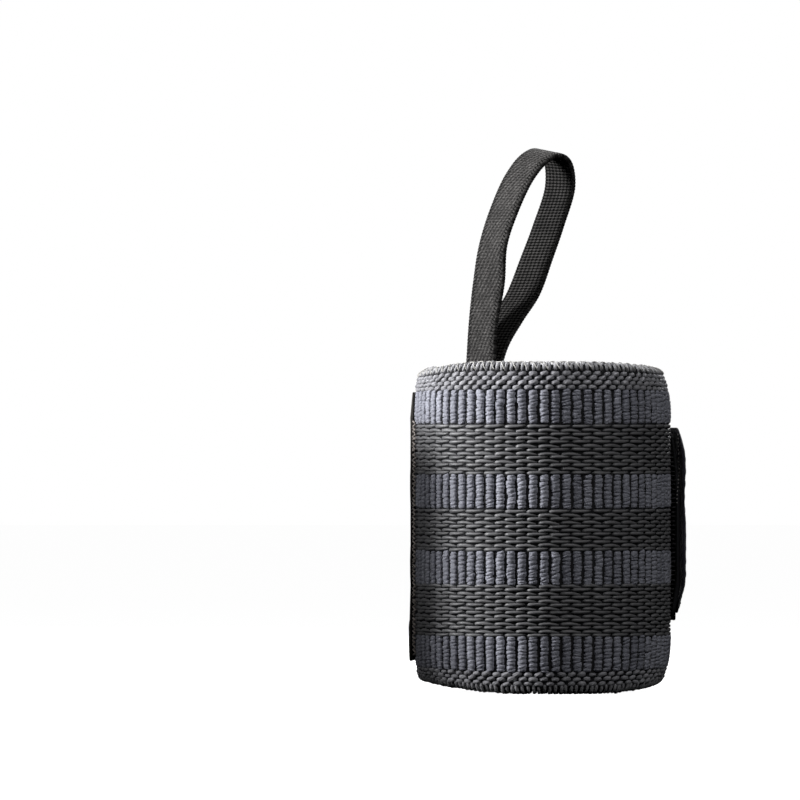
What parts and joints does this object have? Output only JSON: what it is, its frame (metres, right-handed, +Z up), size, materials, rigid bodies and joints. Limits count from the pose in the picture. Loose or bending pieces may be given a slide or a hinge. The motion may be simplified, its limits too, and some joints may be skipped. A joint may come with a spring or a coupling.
{
  "type": "wrist wrap",
  "caption": "Rolled wrist wrap of striped elastic webbing standing on its edge, with a bound end, a hook-tape closure tab and a thumb loop.",
  "frame": {"origin": "middle of the standing wrap's box, on the surface that it stands on", "axes": "+Z up along the roll's axis, -Y towards the viewer of the picture, +X to the viewer's right, where the closure tab ends"},
  "size_m": [0.0672, 0.0636, 0.132],
  "materials": {
    "elastic_webbing": "striped elastic webbing: ribs of blue-grey yarn between stripes of charcoal floats",
    "twill_binding": "dark warm grey twill",
    "hook_tape": "black woven tape with short stiff hooks",
    "suede_facing": "dark navy, matt and napped like suede",
    "knitted_elastic": "charcoal knitted elastic band"
  },
  "bodies": {
    "root": {"webbing": "elastic_webbing", "end_binding": "twill_binding", "hook_tape": "hook_tape", "tab_facing": "suede_facing", "thumb_loop": "knitted_elastic"}
  },
  "joints": []
}
